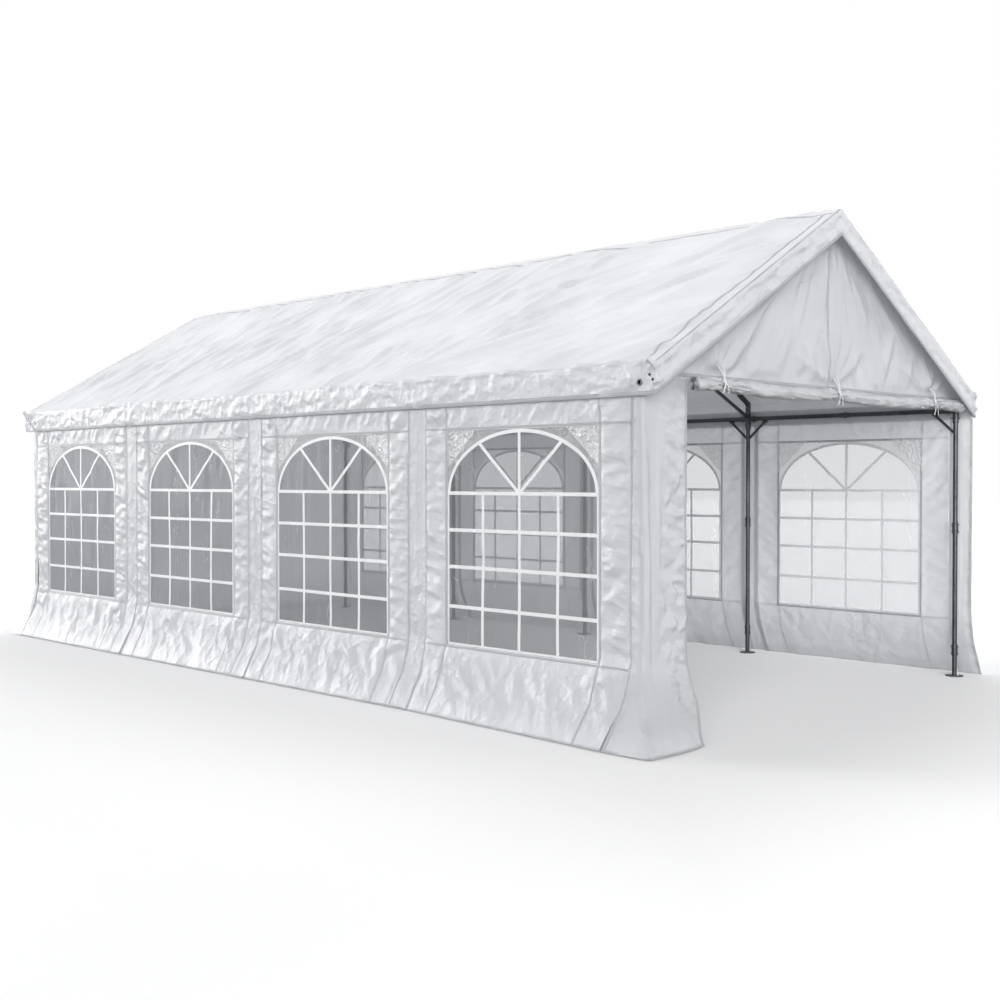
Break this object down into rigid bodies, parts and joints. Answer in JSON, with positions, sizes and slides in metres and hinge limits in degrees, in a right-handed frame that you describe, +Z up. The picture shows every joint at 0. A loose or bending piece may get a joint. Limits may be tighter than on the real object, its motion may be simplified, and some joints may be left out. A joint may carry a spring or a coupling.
{
  "type": "marquee tent",
  "caption": "Long white marquee tent with a steel tube frame, ridge roof, arched film windows along both sides, an open front gable with its door rolled up and a closed rear gable.",
  "frame": {"origin": "on the ground at the centre of the tent's plan", "axes": "+Z up, the ridge and the long walls run along Y, the open gable faces -Y, the gables span X"},
  "size_m": [4.4152, 8.4152, 3.4766],
  "materials": {
    "galvanised_steel": "dull galvanised",
    "wall_fabric": "coated, satin",
    "roof_fabric": "coated, satin",
    "clear_film": "clear soft film"
  },
  "bodies": {
    "root": {"post_left_1": "galvanised_steel", "post_left_2": "galvanised_steel", "post_left_3": "galvanised_steel", "post_left_4": "galvanised_steel", "post_left_5": "galvanised_steel", "post_right_1": "galvanised_steel", "post_right_2": "galvanised_steel", "post_right_3": "galvanised_steel", "post_right_4": "galvanised_steel", "post_right_5": "galvanised_steel", "roof_frame_1": "galvanised_steel", "roof_frame_2": "galvanised_steel", "roof_frame_3": "galvanised_steel", "roof_frame_4": "galvanised_steel", "roof_frame_5": "galvanised_steel", "eave_rail_left_1": "galvanised_steel", "eave_rail_left_2": "galvanised_steel", "eave_rail_left_3": "galvanised_steel", "eave_rail_left_4": "galvanised_steel", "eave_rail_right_1": "galvanised_steel", "eave_rail_right_2": "galvanised_steel", "eave_rail_right_3": "galvanised_steel", "eave_rail_right_4": "galvanised_steel", "ridge_rail_1": "galvanised_steel", "ridge_rail_2": "galvanised_steel", "ridge_rail_3": "galvanised_steel", "ridge_rail_4": "galvanised_steel", "side_wall_left_1": "wall_fabric", "side_wall_left_2": "wall_fabric", "side_wall_left_3": "wall_fabric", "side_wall_left_4": "wall_fabric", "side_wall_right_1": "wall_fabric", "side_wall_right_2": "wall_fabric", "side_wall_right_3": "wall_fabric", "side_wall_right_4": "wall_fabric", "window_sheet_left_1": "clear_film", "window_sheet_left_2": "clear_film", "window_sheet_left_3": "clear_film", "window_sheet_left_4": "clear_film", "window_sheet_right_1": "clear_film", "window_sheet_right_2": "clear_film", "window_sheet_right_3": "clear_film", "window_sheet_right_4": "clear_film", "rear_wall": "wall_fabric", "corner_flap_front_left": "wall_fabric", "corner_flap_front_right": "wall_fabric", "gable_panel_front": "wall_fabric", "gable_panel_rear": "wall_fabric", "door_roll": "wall_fabric", "roof_cover": "roof_fabric"}
  },
  "joints": []
}
